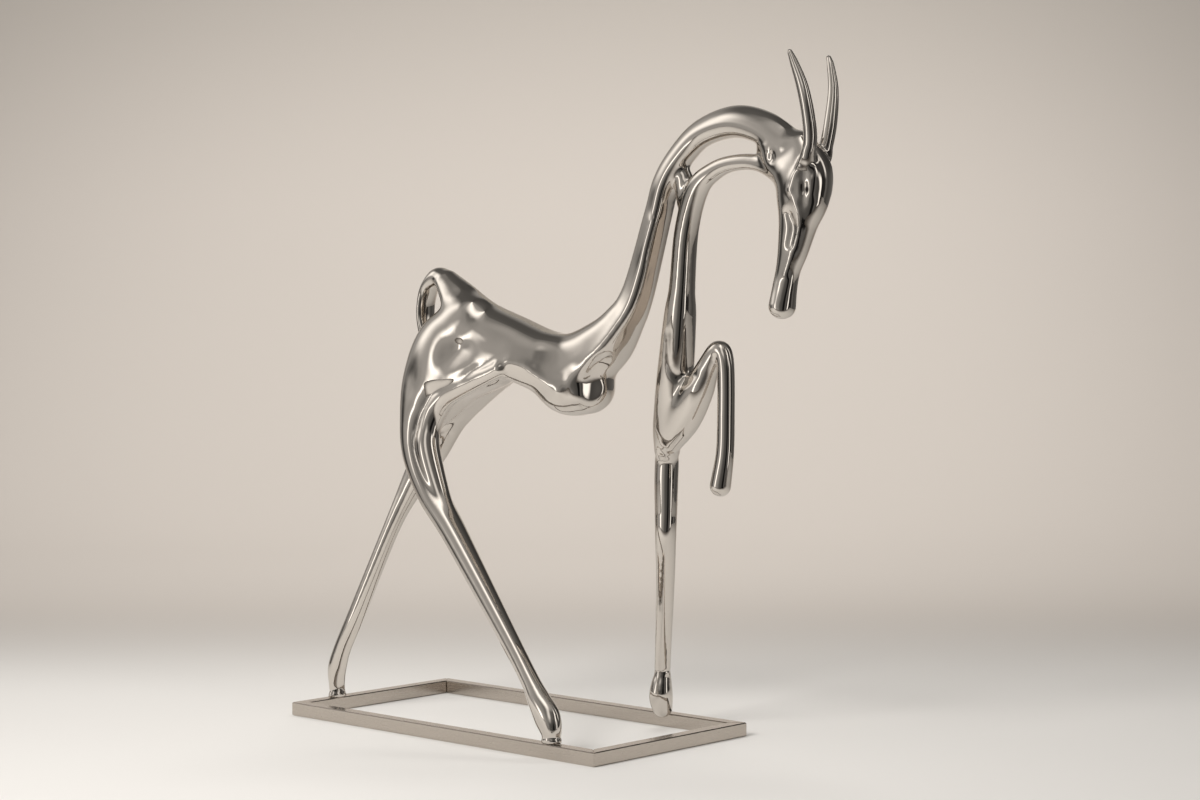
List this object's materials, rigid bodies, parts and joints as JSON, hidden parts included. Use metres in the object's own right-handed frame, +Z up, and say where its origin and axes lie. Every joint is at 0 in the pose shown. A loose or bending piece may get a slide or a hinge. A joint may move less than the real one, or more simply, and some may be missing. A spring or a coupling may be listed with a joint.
{
  "type": "steel horse sculpture",
  "caption": "Mirror-polished stylised horse with tall curved ears, a looped tail and a raised foreleg, standing on an open rectangular frame of square bar",
  "frame": {"origin": "bottom centre of the whole work's bounding box, on the surface that the base frame stands on", "axes": "+X along the base frame toward the head, +Y across it toward the standing foreleg, +Z up"},
  "size_m": [0.5382, 0.198, 0.5747],
  "materials": {
    "horse_steel": "mirror-polished stainless steel",
    "frame_steel": "finely ground stainless steel, half polished"
  },
  "bodies": {
    "root": {"horse_figure": "horse_steel", "base_frame": "frame_steel"}
  },
  "joints": []
}
